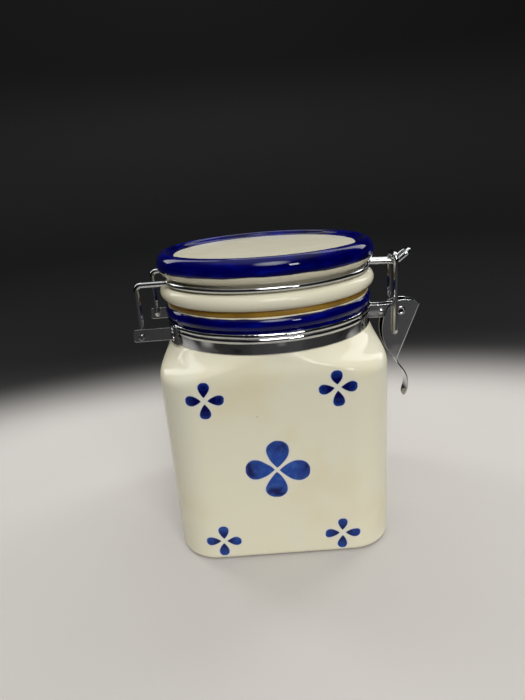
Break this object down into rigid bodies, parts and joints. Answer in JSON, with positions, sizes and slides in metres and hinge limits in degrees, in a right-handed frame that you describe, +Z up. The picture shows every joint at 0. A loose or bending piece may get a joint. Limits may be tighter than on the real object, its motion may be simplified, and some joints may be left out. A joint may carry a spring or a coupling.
{
  "type": "ceramic canister",
  "caption": "Square glazed canister with a round neck, a gasketed lid hinged on a wire ring and an over-centre wire latch, for keeping dry food sealed.",
  "frame": {"origin": "centre of the jar's flat base, on the surface it stands on", "axes": "+Z up, +X towards the latch, -X towards the hinge, -Y towards the front face of the picture"},
  "size_m": [0.1457, 0.109, 0.1484],
  "materials": {
    "jar_glaze": "glossy ivory glaze with blue bands and flowers",
    "lid_glaze": "glossy ivory glaze with a blue rim",
    "gasket_rubber": "amber rubber",
    "chrome_wire": "bright plated wire",
    "chrome_sheet": "bright plated sheet",
    "chrome_rivet": "bright plated rivet"
  },
  "bodies": {
    "jar": {"jar": "jar_glaze", "neck_band": "chrome_sheet", "hinge_bracket_front": "chrome_sheet", "hinge_bracket_back": "chrome_sheet", "hinge_rivets": "chrome_rivet", "band_clamp_rivet": "chrome_rivet", "lever_pivot_eyelet": "chrome_rivet"},
    "lid": {"lid": "lid_glaze", "gasket": "gasket_rubber", "lid_wire": "chrome_wire"},
    "lever": {"latch_lever": "chrome_sheet"},
    "bail": {"latch_bail": "chrome_wire"}
  },
  "joints": [
    {"name": "lid_hinge", "type": "hinge", "parent": "jar", "child": "lid", "pos_m": [-0.063, 0, 0.1097], "axis": [0, -1, 0], "range_deg": [0, 195]},
    {"name": "lever_hinge", "type": "hinge", "parent": "jar", "child": "lever", "pos_m": [0.0689, 0, 0.1082], "axis": [0, -1, 0], "range_deg": [0, 100]},
    {"name": "bail_hinge", "type": "hinge", "parent": "lever", "child": "bail", "pos_m": [0.0655, 0, 0.0969], "axis": [0, -1, 0], "range_deg": [-70, 0]}
  ],
  "couplings": [
    {"joint": "bail_hinge", "follows": "lever_hinge", "ratio": -0.7}
  ]
}
